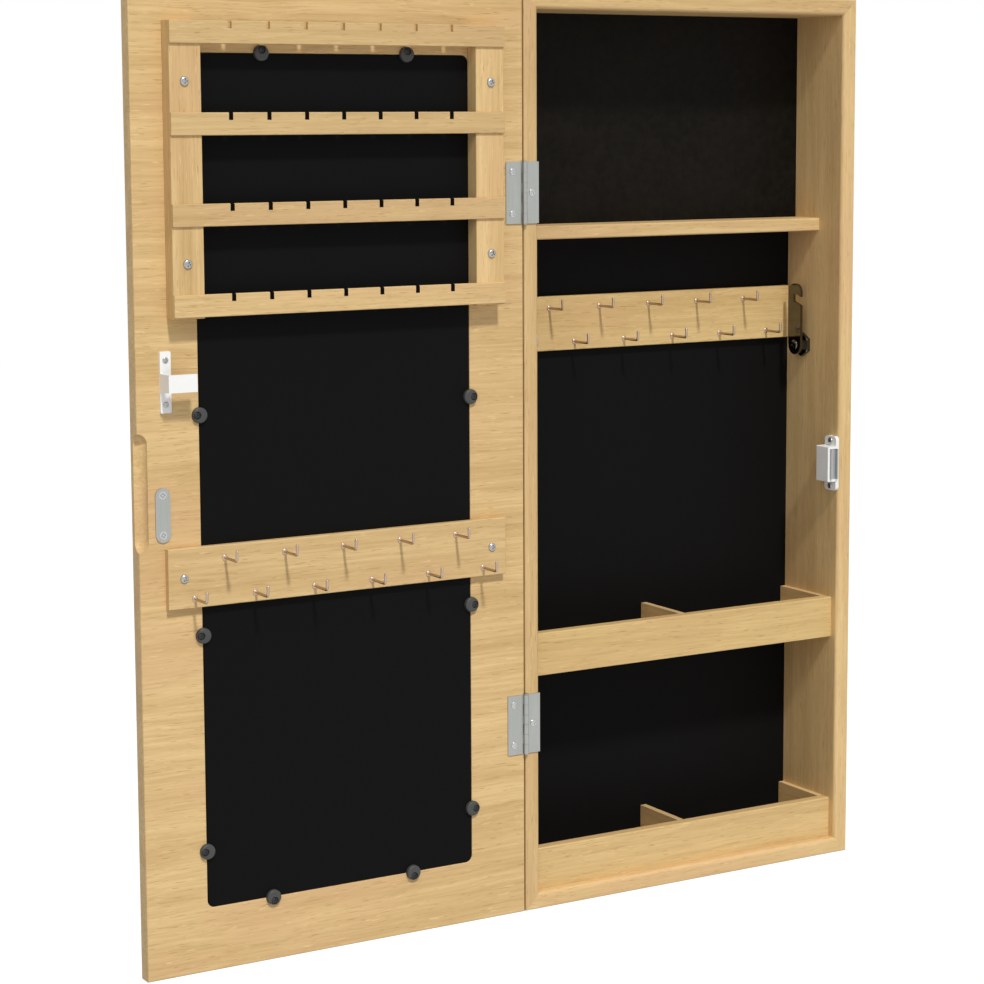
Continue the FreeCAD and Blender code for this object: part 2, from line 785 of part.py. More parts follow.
def hinge_leaf(level, first, plate_y, leaf_width, screw_points, direction):
    low = level - hinge_length / 2
    clear = hinge_x + barrel_radius + barrel_clearance
    outer = -half_width + leaf_width
    leaf = block(clear, outer, plate_y, plate_y + leaf_thickness, low, low + hinge_length)
    joined = []
    for bottom, top in knuckle_spans(level, first):
        joined.append(block(hinge_x, clear, plate_y, plate_y + leaf_thickness, bottom, top))
        joined.append(rod(V(hinge_x, hinge_y, bottom), UP, barrel_radius, top - bottom))
    leaf = leaf.fuse(joined).removeSplitter()
    bore = rod(V(hinge_x, hinge_y, low - 1), UP, hinge_pin_radius + pin_play, hinge_length + 2)
    holes = [rod(point + direction, direction * -1, hinge_door_screw[2] + shank_play, leaf_thickness + 2)
             for point in screw_points if abs(point.z - level) < hinge_length / 2]
    return leaf.cut([bore] + holes)


def hinge_pin(level):
    half = hinge_length / 2 + pin_play * 2
    pin = rod(V(hinge_x, hinge_y, level - half), UP, hinge_pin_radius, 2 * half)
    caps = [rod(V(hinge_x, hinge_y, level + half), UP, pin_cap_radius, pin_cap_height),
            rod(V(hinge_x, hinge_y, level - half), UP * -1, pin_cap_radius, pin_cap_height)]
    return pin.fuse(caps).removeSplitter()


def hinges():
    for name, level in zip(("upper", "lower"), hinge_levels):
        frame_leaf = hinge_leaf(level, 0, leaf_face_frame, frame_leaf_width, hinge_frame_points, ROOM)
        door_leaf = hinge_leaf(level, 1, door_face, door_leaf_width, hinge_door_points, WALL)
        export(name + "_hinge_frame_leaf", frame_leaf)
        export(name + "_hinge_door_leaf", opened(door_leaf))
    export("hinge_pins", [hinge_pin(level) for level in hinge_levels])
    export("hinge_frame_screws", screws_at(hinge_frame_points, hinge_frame_screw, ROOM))
    screws = screws_at(hinge_door_points, hinge_door_screw, WALL)
    export("hinge_door_screws", [opened(screw) for screw in screws])


# ---------------------------------------------------------------- magnetic catch
def magnetic_catch():
    left = inner_x - catch_depth
    half = catch_body_height / 2
    body = block(left, inner_x, front_y, front_y + catch_length, catch_z - half, catch_z + half)
    body = round_edges(body, soft_edge, lambda edge: edge.BoundBox.XMax < left + 0.01)
    ears = block(inner_x - catch_ear_thickness, inner_x, front_y, front_y + catch_ear_width,
                 catch_z - catch_half_height, catch_z + catch_half_height)
    ears = round_along(ears, catch_ear_corner, RIGHT)
    middle = plate_x
    pocket_x = pole_stack / 2 + catch_play
    pocket_z = half - catch_wall
    pocket_back = front_y + catch_length - catch_wall
    pocket = block(middle - pocket_x, middle + pocket_x, front_y - 1, pocket_back,
                   catch_z - pocket_z, catch_z + pocket_z)
    housing = body.fuse(ears).removeSplitter().cut([pocket] + pilots_at(catch_points, catch_screw, LEFT))
    export("catch_housing", housing)
    stack_z = pocket_z - catch_play
    magnet_x = magnet_thickness / 2
    export("catch_magnet", block(middle - magnet_x, middle + magnet_x, front_y + catch_wall / 2, pocket_back,
                                 catch_z - stack_z, catch_z + stack_z))
    poles = []
    for low in (middle - magnet_x - pole_thickness, middle + magnet_x):
        poles.append(block(low, low + pole_thickness, front_y - pole_reach, pocket_back,
                           catch_z - stack_z, catch_z + stack_z))
    export("catch_poles", poles)
    export("catch_screws", screws_at(catch_points, catch_screw, LEFT))


def catch_plate():
    half_x = plate_width / 2
    straight = plate_length / 2 - half_x
    plate = block(plate_x - half_x, plate_x + half_x, door_face, plate_face,
                  plate_z - straight, plate_z + straight)
    ends = [rod(V(plate_x, door_face, plate_z + level), WALL, half_x, plate_thickness)
            for level in (-straight, straight)]
    plate = plate.fuse(ends).removeSplitter().cut([sink(plate_screw, point, WALL) for point in plate_points])
    export("catch_plate", opened(plate))
    screws = screws_at(plate_points, plate_screw, WALL, flush_screw)
    export("catch_plate_screws", [opened(screw) for screw in screws])


# ---------------------------------------------------------------- cam lock and strike
def cam_point(along, side):
    return V(0, -side, along)


def cam_outline():
    half = cam_width / 2
    tip_centre = cam_length - half
    line = Part.LineSegment
    arc = Part.Arc
    corners = [(notch_start, half), (notch_start + notch_slant, notch_spine - half),
               (notch_end, notch_spine - half), (notch_end, half * 0.4), (notch_end - notch_nose, half)]
    notch = [cam_point(along, side) for along, side in corners]
    edges = [line(cam_point(0, half), notch[0]).toShape()]
    edges += [line(notch[index], notch[index + 1]).toShape() for index in range(len(notch) - 1)]
    edges.append(line(notch[-1], cam_point(tip_centre, half)).toShape())
    edges.append(arc(cam_point(tip_centre, half), cam_point(cam_length, 0),
                     cam_point(tip_centre, -half)).toShape())
    edges.append(line(cam_point(tip_centre, -half), cam_point(0, -half)).toShape())
    edges.append(arc(cam_point(0, -half), cam_point(-half, 0), cam_point(0, half)).toShape())
    return Part.Face(Part.Wire(edges))


def lock():
    axis_point = V(0, lock_y, lock_z)
    end_x = inner_x - barrel_reach
    outer_x = half_width + barrel_flange_height
    plug_head_height = barrel_flange_height + plug_head_sink
    barrel = rod(axis_point + RIGHT * end_x, RIGHT, barrel_body_radius, outer_x - end_x)
    flange = rod(axis_point + RIGHT * half_width, RIGHT, barrel_flange_radius, barrel_flange_height)
    flange = round_edges(flange, barrel_flange_round, lambda edge: edge.BoundBox.XMin > outer_x - 0.01)
    bore = rod(axis_point + RIGHT * (end_x - 1), RIGHT, plug_radius + plug_play, outer_x - end_x + 2)
    seat = rod(axis_point + RIGHT * (outer_x - plug_head_height), RIGHT, plug_head_radius + plug_play,
               plug_head_height + 1)
    export("lock_barrel", barrel.fuse(flange).removeSplitter().cut([bore, seat]))

    hex_radius = nut_across_flats / math.sqrt(3)
    corners = [V(0, hex_radius * math.sin(math.radians(60 * k)), hex_radius * math.cos(math.radians(60 * k)))
               for k in range(6)]
    nut = Part.Face(Part.makePolygon(corners + corners[:1])).extrude(V(nut_thickness, 0, 0))
    turned_rim = rod(V(0, 0, 0), RIGHT, hex_radius * 0.985, nut_thickness)
    turned_rim = turned_rim.makeChamfer(soft_edge, [e for e in turned_rim.Edges if e.BoundBox.XMax < 0.01])
    hole = rod(V(-1, 0, 0), RIGHT, barrel_body_radius + plug_play, nut_thickness + 2)
    nut = nut.common(turned_rim).cut(hole)
    export("lock_nut", placed(nut, axis_point + RIGHT * (inner_x - nut_thickness)))

    body = rod(axis_point + RIGHT * cam_right, RIGHT, plug_radius, outer_x - cam_right - plug_play)
    head = rod(axis_point + RIGHT * (outer_x - plug_head_height + plug_play), RIGHT, plug_head_radius,
               plug_head_height - plug_play)
    half = cam_square / 2
    tang = block(cam_left, cam_right, lock_y - half, lock_y + half, lock_z - half, lock_z + half)
    key_slot = block(outer_x - key_slot_depth, outer_x + 1,
                     lock_y - key_slot_width / 2, lock_y + key_slot_width / 2,
                     lock_z - key_slot_height / 2, lock_z + key_slot_height / 2)
    screw_seat = axis_point + RIGHT * cam_left
    plug = body.fuse([head, tang]).removeSplitter().cut([key_slot, pilot(cam_screw, screw_seat, LEFT)])
    export("lock_plug", plug)

    cam = cam_outline().extrude(V(cam_thickness, 0, 0))
    hole = half + plug_play
    cam = cam.cut(block(-1, cam_thickness + 1, -hole, hole, -hole, hole))
    export("lock_cam", placed(cam, screw_seat))
    export("cam_screw", screws_at([screw_seat], cam_screw, LEFT))


def lock_strike():
    half = strike_flange_height / 2
    flange = block(strike_outer - strike_flange_width, strike_outer, door_face, strike_face,
                   strike_z - half, strike_z + half)
    flange = round_along(flange, strike_corner, WALL)
    low = strike_z - tongue_height / 2
    tongue_far = tongue_mid_y + tongue_thickness / 2
    leg = block(strike_outer - strike_leg_thickness, strike_outer, door_face, tongue_far,
                low, low + tongue_height)
    tongue = block(strike_outer - tongue_length, strike_outer, tongue_far - tongue_thickness, tongue_far,
                   low, low + tongue_height)
    strike = flange.fuse([leg, tongue]).removeSplitter().cut(pilots_at(strike_points, strike_screw, WALL))
    export("lock_strike", opened(strike))
    export("strike_screws", [opened(screw) for screw in screws_at(strike_points, strike_screw, WALL)])


# ---------------------------------------------------------------- build
os.makedirs("parts", exist_ok=True)
cabinet_box()
back_and_top_backing()
hangers()
shelf()
for tray_name, tray_bottom in tray_levels.items():
    tray_walls(tray_name, tray_bottom)
cabinet_hooks()
door_panel()
mirror()
mirror_clips()
earring_rack()
door_hooks()
hinges()
magnetic_catch()
catch_plate()
lock()
lock_strike()
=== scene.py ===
import math
import random

import bmesh
import bpy
from mathutils import Matrix, Quaternion, Vector


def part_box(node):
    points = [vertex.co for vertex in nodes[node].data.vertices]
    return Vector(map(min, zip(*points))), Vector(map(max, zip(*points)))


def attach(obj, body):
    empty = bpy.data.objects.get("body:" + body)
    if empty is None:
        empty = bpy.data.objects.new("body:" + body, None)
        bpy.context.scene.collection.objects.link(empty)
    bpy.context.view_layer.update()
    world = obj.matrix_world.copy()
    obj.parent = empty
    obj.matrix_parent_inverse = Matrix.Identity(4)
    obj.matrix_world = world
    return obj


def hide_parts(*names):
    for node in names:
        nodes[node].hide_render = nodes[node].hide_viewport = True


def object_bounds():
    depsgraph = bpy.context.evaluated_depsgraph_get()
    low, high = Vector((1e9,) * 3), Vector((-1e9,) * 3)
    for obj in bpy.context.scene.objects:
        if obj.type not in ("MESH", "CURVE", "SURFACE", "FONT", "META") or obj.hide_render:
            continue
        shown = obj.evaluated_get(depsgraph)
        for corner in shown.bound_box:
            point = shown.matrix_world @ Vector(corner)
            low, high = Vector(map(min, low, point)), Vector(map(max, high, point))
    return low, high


# Wall-hung jewellery cabinet with its mirror door swung wide open, in oak with black linings.
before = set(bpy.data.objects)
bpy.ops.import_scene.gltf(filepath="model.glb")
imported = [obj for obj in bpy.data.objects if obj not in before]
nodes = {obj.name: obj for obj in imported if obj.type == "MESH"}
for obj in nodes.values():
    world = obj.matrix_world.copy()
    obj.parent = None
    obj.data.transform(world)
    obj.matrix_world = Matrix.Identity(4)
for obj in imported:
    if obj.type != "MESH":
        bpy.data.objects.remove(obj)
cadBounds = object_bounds()
print("frame loaded:", len(nodes), "CAD pieces")

mm = 0.001
quarter = math.pi / 2
aimRoom = (quarter, 0, 0)  # a fastener is drawn along +Z, then aimed
aimWall = (-quarter, 0, 0)
aimLeft = (0, -quarter, 0)
weld = 1e-6
sortDigits = 4  # solids are told apart to a tenth of a millimetre


def islandBoxes(node):  # the box of each separate solid in a CAD node
    mesh = bmesh.new()
    mesh.from_mesh(nodes[node].data)
    bmesh.ops.remove_doubles(mesh, verts=mesh.verts, dist=weld)
    waiting = set(mesh.verts)
    boxes = []
    while waiting:
        stack = [waiting.pop()]
        points = []
        while stack:
            vert = stack.pop()
            points.append(vert.co.copy())
            for edge in vert.link_edges:
                other = edge.other_vert(vert)
                if other in waiting:
                    waiting.remove(other)
                    stack.append(other)
        low = Vector([min(point[axis] for point in points) for axis in range(3)])
        high = Vector([max(point[axis] for point in points) for axis in range(3)])
        boxes.append((low, high))
    mesh.free()
    return sorted(boxes, key=lambda box: (round(box[0].z, sortDigits), round(box[0].x, sortDigits)))


def addNode(tree, kind, inputs=None, **settings):
    node = tree.nodes.new(kind)
    for name, value in settings.items():
        setattr(node, name, value)
    for key, value in (inputs or {}).items():
        if isinstance(value, list):
            for source in reversed(value):
                tree.links.new(source, node.inputs[key])
        elif isinstance(value, bpy.types.NodeSocket):
            tree.links.new(value, node.inputs[key])
        else:
            node.inputs[key].default_value = value
    return node


def addMath(tree, operation, first, second=0.0, clamp=False):
    made = addNode(tree, "ShaderNodeMath", {0: first, 1: second}, operation=operation, use_clamp=clamp)
    return made.outputs[0]


def times(tree, first, second):
    return addMath(tree, "MULTIPLY", first, second)


def plus(tree, first, second):
    return addMath(tree, "ADD", first, second)


def minus(tree, first, second):
    return addMath(tree, "SUBTRACT", first, second)


def vectorMath(tree, operation, first, second):
    return addNode(tree, "ShaderNodeVectorMath", {0: first, 1: second}, operation=operation).outputs[0]


def scaled(tree, vector, share):
    inputs = {0: vector, "Scale": share}
    return addNode(tree, "ShaderNodeVectorMath", inputs, operation="SCALE").outputs[0]


def combine(tree, **axes):
    return addNode(tree, "ShaderNodeCombineXYZ", axes).outputs[0]


def mixColour(tree, factor, first, second, kind="MIX"):
    inputs = {0: factor, 6: first, 7: second}
    return addNode(tree, "ShaderNodeMix", inputs, data_type="RGBA", blend_type=kind).outputs[2]


def newGroup(kind, name, inputs, outputs):
    tree = bpy.data.node_groups.new(name, kind)
    for direction, sockets in (("INPUT", inputs), ("OUTPUT", outputs)):
        for label, socketType in sockets.items():
            fullType = "NodeSocket" + socketType
            tree.interface.new_socket(name=label, in_out=direction, socket_type=fullType)
    return tree, tree.nodes.new("NodeGroupInput").outputs, tree.nodes.new("NodeGroupOutput").inputs


# each layer of the oak's figure, with its scale along and across the grain
grain = {
    "slowBend": {"scale": (2.2, 9.0, 9.0), "detail": 2.0, "amount": 0.016},
    "quickBend": {"scale": (14.0, 34.0, 34.0), "detail": 2.0, "amount": 0.0042},
    "bands": {"scale": (2.6, 70.0, 70.0), "detail": 3.0, "roughness": 0.6, "ramp": (0.32, 0.68),
              "share": 0.55},
    "streaks": {"scale": (11.0, 380.0, 380.0), "detail": 3.0, "roughness": 0.6, "ramp": (0.32, 0.68),
                "share": 0.45},
    "lines": {"scale": (20.0, 760.0, 760.0), "detail": 2.0, "ramp": (0.57, 0.70), "share": 0.35},
    "patches": {"scale": (7.0, 19.0, 19.0), "detail": 2.0, "ramp": (0.46, 0.68), "share": 0.5},
    "flecks": {"scale": (70.0, 700.0, 700.0), "detail": 1.0, "ramp": (0.66, 0.75), "share": 0.55,
               "pale": (1.1, 1.1, 1.14, 1.0)},
    "pores": {"scale": (75.0, 1500.0, 1500.0), "detail": 1.0, "ramp": (0.65, 0.72), "rough": 0.2,
              "dark": (0.80, 0.72, 0.60, 1.0)},
    "fine": {"scale": (36.0, 1300.0, 1300.0), "detail": 2.0, "shade": (0.90, 0.20), "rough": (0.42, 0.16),
             "relief": 0.4},
}


def makeGrain():
    # growth bands, streaks and open pores that run along X of the given vector
    tree, given, out = newGroup(
        "ShaderNodeTree", "oakGrain",
        {"Vector": "Vector", "Light": "Color", "Dark": "Color", "Blush": "Color", "Figure": "Float",
         "Pores": "Float"},
        {"Color": "Color", "Roughness": "Float", "Height": "Float"})

    def noise(vector, layer):
        stretched = vectorMath(tree, "MULTIPLY", vector, grain[layer]["scale"])
        inputs = {"Vector": stretched, "Scale": 1.0, "Detail": grain[layer]["detail"],
                  "Roughness": grain[layer].get("roughness", 0.5)}
        return addNode(tree, "ShaderNodeTexNoise", inputs).outputs["Fac"]

    def ramp(vector, layer):
        low, high = grain[layer]["ramp"]
        inputs = {"Value": noise(vector, layer), "From Min": low, "From Max": high}
        return addNode(tree, "ShaderNodeMapRange", inputs, interpolation_type="SMOOTHSTEP").outputs["Result"]

    def bend(vector, layer):
        wave = times(tree, minus(tree, noise(vector, layer), 0.5), grain[layer]["amount"])
        return vectorMath(tree, "ADD", vector, combine(tree, Y=wave, Z=wave))

    def part(vector, layer):
        return times(tree, ramp(vector, layer), grain[layer]["share"])

    curved = bend(bend(given["Vector"], "slowBend"), "quickBend")
    fine = noise(curved, "fine")
    pores = ramp(curved, "pores")
    share = times(tree, plus(tree, part(curved, "bands"), part(curved, "streaks")), given["Figure"])
    colour = mixColour(tree, share, given["Light"], given["Dark"])
    colour = mixColour(tree, part(given["Vector"], "patches"), colour, given["Blush"])
    colour = mixColour(tree, part(curved, "lines"), colour, given["Dark"])
    paleFleck = mixColour(tree, 1.0, given["Light"], grain["flecks"]["pale"], "MULTIPLY")
    colour = mixColour(tree, part(curved, "flecks"), colour, paleFleck)
    marks = times(tree, pores, given["Pores"])
    darkPore = mixColour(tree, 1.0, given["Dark"], grain["pores"]["dark"], "MULTIPLY")
    colour = mixColour(tree, marks, colour, darkPore)
    base, swing = grain["fine"]["shade"]
    shade = plus(tree, times(tree, fine, swing), base)
    shadeColour = addNode(tree, "ShaderNodeCombineColor", {0: shade, 1: shade, 2: shade}).outputs[0]
    tree.links.new(mixColour(tree, 1.0, colour, shadeColour, "MULTIPLY"), out["Color"])
    base, swing = grain["fine"]["rough"]
    smooth = plus(tree, times(tree, fine, swing), base)
    tree.links.new(plus(tree, times(tree, marks, grain["pores"]["rough"]), smooth), out["Roughness"])
    tree.links.new(minus(tree, times(tree, fine, grain["fine"]["relief"]), pores), out["Height"])
    return tree


wear = {"cloudScale": 28.0, "speckle": 900.0, "detail": 3.0, "gritDetail": 1.0,
        "drawn": 0.5, "cloud": 0.3, "grit": 0.2, "swing": 4.0, "relief": (0.6, 0.4)}


def makeWear():
    # soft blotches, fine speckle and drawn-out scratches, for metal, plastic and painted board
    tree, given, out = newGroup(
        "ShaderNodeTree", "wornSurface",
        {"Vector": "Vector", "Base": "Color", "Spread": "Float", "Roughness": "Float", "Stretch": "Vector"},
        {"Color": "Color", "Roughness": "Float", "Height": "Float"})

    def noise(vector, scale, detail):
        inputs = {"Vector": vector, "Scale": scale, "Detail": detail}
        return addNode(tree, "ShaderNodeTexNoise", inputs).outputs["Fac"]

    drawn = noise(vectorMath(tree, "MULTIPLY", given["Vector"], given["Stretch"]), 1.0, wear["detail"])
    cloud = noise(given["Vector"], wear["cloudScale"], wear["detail"])
    grit = noise(given["Vector"], wear["speckle"], wear["gritDetail"])
    soft = plus(tree, times(tree, cloud, wear["cloud"]), times(tree, grit, wear["grit"]))
    blend = plus(tree, times(tree, drawn, wear["drawn"]), soft)
    swing = minus(tree, blend, 0.5)
    gain = plus(tree, times(tree, swing, times(tree, given["Spread"], wear["swing"])), 1.0)
    tree.links.new(scaled(tree, given["Base"], gain), out["Color"])
    rough = addMath(tree, "ADD", times(tree, swing, given["Spread"]), given["Roughness"], clamp=True)
    tree.links.new(rough, out["Roughness"])
    drawnRelief, gritRelief = wear["relief"]
    relief = plus(tree, times(tree, drawn, drawnRelief), times(tree, grit, gritRelief))
    tree.links.new(relief, out["Height"])
    return tree


grainGroup = makeGrain()
wearGroup = makeWear()


def newMaterial(name):
    material = bpy.data.materials.new(name)
    material.use_nodes = True
    tree = material.node_tree
    tree.nodes.clear()
    shader = tree.nodes.new("ShaderNodeBsdfPrincipled")
    output = tree.nodes.new("ShaderNodeOutputMaterial")
    tree.links.new(shader.outputs[0], output.inputs[0])
    return material, tree, shader


def placeGroup(tree, shader, group, values, turn, shift, bump):
    coords = tree.nodes.new("ShaderNodeTexCoord").outputs["Object"]
    inputs = {"Vector": coords, "Rotation": turn, "Location": shift}
    mapped = addNode(tree, "ShaderNodeMapping", inputs).outputs[0]
    placed = tree.nodes.new("ShaderNodeGroup")
    placed.node_tree = group
    tree.links.new(mapped, placed.inputs["Vector"])
    for key, value in values.items():
        placed.inputs[key].default_value = value
    tree.links.new(placed.outputs["Color"], shader.inputs["Base Color"])
    tree.links.new(placed.outputs["Roughness"], shader.inputs["Roughness"])
    strength, distance = bump
    inputs = {"Height": placed.outputs["Height"], "Strength": strength, "Distance": distance}
    tree.links.new(addNode(tree, "ShaderNodeBump", inputs).outputs[0], shader.inputs["Normal"])


grainTurns = {"X": (0, 0, 0), "Z": (0, quarter, 0), "Y": (0, 0, quarter)}
oak = {"light": (0.735, 0.520, 0.250), "dark": (0.525, 0.338, 0.140), "blush": (0.645, 0.405, 0.205),
       "figure": 0.85, "pores": 0.60, "specular": 0.22, "bump": (0.25, 0.0002),
       "cut": (0.37, 0.11, 0.23)}  # how far apart in the tree two boards are cut
# the saw cuts in a rail, in millimetres, and the painted shade for their walls
kerf = {"count": 7, "pitch": 28.0, "width": 3.0, "depth": 5.0, "margin": 0.06,
        "slotShade": (0.020, 0.013, 0.008, 1.0)}


def oakFinish(name, along, number, tone, figure, blue):
    material, tree, shader = newMaterial("oak_" + name)
    shift = tuple(step * number for step in oak["cut"])

    def toned(key):
        red, green, low = oak[key]
        return (red * tone, green * tone, low * tone * blue, 1.0)

    values = {"Light": toned("light"), "Dark": toned("dark"), "Blush": toned("blush"),
              "Figure": oak["figure"] * figure, "Pores": oak["pores"]}
    placeGroup(tree, shader, grainGroup, values, grainTurns[along], shift, oak["bump"])
    shader.inputs["Specular IOR Level"].default_value = oak["specular"]
    return material


def shadeSlotWalls(board):  # painted shade: the walls of the earring slots are painted near-black, for the dark seen in the slots
    tree = nodes[board].material_slots[0].material.node_tree
    shader = next(node for node in tree.nodes if node.type == "BSDF_PRINCIPLED")
    low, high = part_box(board)
    reach = (kerf["width"] / 2 + kerf["margin"]) * mm
    floor = high[2] - (kerf["depth"] + kerf["margin"]) * mm
    coords = tree.nodes.new("ShaderNodeTexCoord").outputs["Object"]
    spot = addNode(tree, "ShaderNodeSeparateXYZ", {0: coords}).outputs
    beside = minus(tree, spot["X"], (low[0] + high[0]) / 2)
    inPitch = addMath(tree, "PINGPONG", beside, kerf["pitch"] * mm / 2)
    halfRow = kerf["count"] * kerf["pitch"] * mm / 2
    onRow = addMath(tree, "LESS_THAN", addMath(tree, "ABSOLUTE", beside), halfRow)
    within = times(tree, addMath(tree, "LESS_THAN", inPitch, reach), onRow)
    shadeMask = times(tree, within, addMath(tree, "GREATER_THAN", spot["Z"], floor))
    wood = shader.inputs["Base Color"].links[0].from_socket
    # painted shade: inside the slots the oak turns near-black
    tree.links.new(mixColour(tree, shadeMask, wood, kerf["slotShade"]), shader.inputs["Base Color"])


def wornFinish(name, colour, roughness, metallic=0.0, spread=0.1, stretch=(200.0, 200.0, 200.0),
               specular=0.5, bump=(0.08, 0.0001)):
    material, tree, shader = newMaterial(name)
    values = {"Base": colour + (1.0,), "Spread": spread, "Roughness": roughness, "Stretch": stretch}
    placeGroup(tree, shader, wearGroup, values, (0, 0, 0), (0, 0, 0), bump)
    shader.inputs["Metallic"].default_value = metallic
    shader.inputs["Specular IOR Level"].default_value = specular
    return material


def dress(names, material):
    for name in names:
        for slot in nodes[name].material_slots:
            slot.material = material


satinSteel = wornFinish("satinSteel", (0.41, 0.42, 0.40), 0.38, 1.0, 0.10, (900.0, 900.0, 40.0))
brightZinc = wornFinish("brightZinc", (0.42, 0.42, 0.42), 0.27, 1.0, 0.12)
polishedZinc = wornFinish("polishedZinc", (0.52, 0.52, 0.52), 0.17, 1.0, 0.12)
hookNickel = wornFinish("hookNickel", (0.50, 0.39, 0.31), 0.34, 1.0, 0.12)
darkChrome = wornFinish("darkChrome", (0.13, 0.125, 0.11), 0.12, 1.0, 0.10)
magnetNickel = wornFinish("magnetNickel", (0.50, 0.51, 0.52), 0.35, 0.6, 0.08, specular=0.4)
whitePlastic = wornFinish("whitePlastic", (0.86, 0.86, 0.84), 0.42, 0.0, 0.015, specular=0.4)
clipPlastic = wornFinish("clipPlastic", (0.052, 0.052, 0.050), 0.46, 0.0, 0.10, specular=0.35)
blackScrew = wornFinish("blackScrew", (0.022, 0.022, 0.024), 0.40, 0.0, 0.12, specular=0.4)
blackBoard = wornFinish("blackBoard", (0.0046, 0.0045, 0.0045), 0.62, 0.0, 0.06, specular=0.05)
darkBoard = wornFinish("darkBoard", (0.0076, 0.0065, 0.0050), 0.50, 0.0, 0.60, specular=0.05)
beech = wornFinish("beechDowel", (0.60, 0.40, 0.22), 0.6, 0.0, 0.1, (20.0, 900.0, 900.0), specular=0.25)
silverMirror = wornFinish("silverMirror", (0.90, 0.92, 0.91), 0.015, 1.0, 0.004, (6.0, 6.0, 6.0),
                          bump=(0.0, 0.0001))

# grain direction, which cut of the tree, tone and strength of figure for each oak board
oakBoards = {
    "door_panel": ("X", 1, 1.00, 1.0), "side_left": ("Z", 2, 0.94, 0.8), "side_right": ("Z", 3, 1.02, 0.8),
    "top_panel": ("X", 4, 0.98, 0.8), "bottom_panel": ("X", 5, 1.02, 0.8), "shelf": ("X", 6, 0.95, 0.9),
    "cabinet_hook_board": ("X", 7, 0.93, 0.9), "door_hook_board": ("X", 8, 0.94, 0.9),
    "rack_stile_left": ("Z", 9, 0.98, 1.2), "rack_stile_right": ("Z", 10, 1.04, 0.9),
    "rack_rail_1": ("X", 11, 0.90, 0.8), "rack_rail_2": ("X", 12, 0.89, 0.8),
    "rack_rail_3": ("X", 13, 0.90, 0.8), "rack_rail_4": ("X", 14, 0.98, 0.8),
    "middle_tray_front": ("X", 15, 0.92, 0.9), "middle_tray_floor": ("X", 16, 0.98, 0.8),
    "middle_tray_divider": ("Y", 17, 0.95, 0.8), "middle_tray_liner_left": ("Y", 18, 0.98, 0.8),
    "middle_tray_liner_right": ("Y", 19, 0.98, 0.8), "lower_tray_front": ("X", 20, 0.97, 0.9),
    "lower_tray_divider": ("Y", 21, 0.95, 0.8), "lower_tray_liner_left": ("Y", 22, 0.98, 0.8),
    "lower_tray_liner_right": ("Y", 23, 0.98, 0.8),
}
# the share of blue kept in the yellower boards
yellower = {"cabinet_hook_board": 0.94, "middle_tray_front": 0.91, "lower_tray_front": 0.96}
for board, (along, number, tone, figure) in oakBoards.items():
    dress([board], oakFinish(board, along, number, tone, figure, yellower.get(board, 1.0)))
for board in ("rack_rail_2", "rack_rail_3", "rack_rail_4"):  # the topmost rail's slot walls keep plain oak, without the painted shade
    shadeSlotWalls(board)
dress(["upper_hinge_frame_leaf", "lower_hinge_frame_leaf", "upper_hinge_door_leaf", "lower_hinge_door_leaf",
       "hinge_pins", "catch_plate", "hanger_plates", "catch_poles"], satinSteel)
dress(["back_brads"], brightZinc)
dress(["catch_housing", "lock_strike"], whitePlastic)
dress(["lock_barrel", "lock_nut", "lock_plug", "lock_cam"], darkChrome)
dress(["back_panel", "mirror_backing"], blackBoard)
dress(["top_backing"], darkBoard)
dress(["mirror_glass"], silverMirror)
dress(["catch_magnet"], magnetNickel)
dress(["shelf_dowels", "tray_dowels"], beech)
print("CAD pieces dressed")


def newTree(name, *sizes):
    inputs = {"Geometry": "Geometry", **dict.fromkeys(sizes, "Float"), "Aim": "Vector", "Finish": "Material"}
    return newGroup("GeometryNodeTree", name, inputs, {"Geometry": "Geometry"})


def sphere(tree, radius, segments, rings):
    inputs = {"Segments": segments, "Rings": rings, "Radius": radius}
    return addNode(tree, "GeometryNodeMeshUVSphere", inputs).outputs[0]


def cylinder(tree, radius, depth, sides):
    inputs = {"Vertices": sides, "Radius": radius, "Depth": depth}
    return addNode(tree, "GeometryNodeMeshCylinder", inputs).outputs[0]


def cone(tree, top, bottom, depth, sides):
    inputs = {"Vertices": sides, "Radius Top": top, "Radius Bottom": bottom, "Depth": depth}
    return addNode(tree, "GeometryNodeMeshCone", inputs).outputs[0]


def moved(tree, geometry, offset):
    return addNode(tree, "GeometryNodeTransform", {"Geometry": geometry, "Translation": offset}).outputs[0]


def cutFrom(tree, whole, tools):
    cut = addNode(tree, "GeometryNodeMeshBoolean", {"Mesh 1": whole, "Mesh 2": tools},
                  operation="DIFFERENCE", solver="EXACT")
    return cut.outputs[0]


def joined(tree, parts):
    return addNode(tree, "GeometryNodeJoinGeometry", {0: parts}).outputs[0]


def puck(tree, radius, height, squareness, segments, rings):
    # a sphere pressed flat below and squared at its shoulder
    leastSpan = 0.0001
    spot = tree.nodes.new("GeometryNodeInputPosition").outputs[0]
    axes = addNode(tree, "ShaderNodeSeparateXYZ", {0: spot}).outputs
    flat = combine(tree, X=axes["X"], Y=axes["Y"])
    length = addNode(tree, "ShaderNodeVectorMath", {0: flat}, operation="LENGTH").outputs["Value"]
    span = addMath(tree, "MAXIMUM", length, leastSpan)
    widen = times(tree, addMath(tree, "POWER", span, minus(tree, squareness, 1.0)), radius)
    lift = times(tree, addMath(tree, "POWER", addMath(tree, "MAXIMUM", axes["Z"], 0.0), squareness), height)
    place = vectorMath(tree, "ADD", scaled(tree, flat, widen), combine(tree, Z=lift))
    inputs = {"Geometry": sphere(tree, 1.0, segments, rings), "Position": place}
    return addNode(tree, "GeometryNodeSetPosition", inputs).outputs[0]


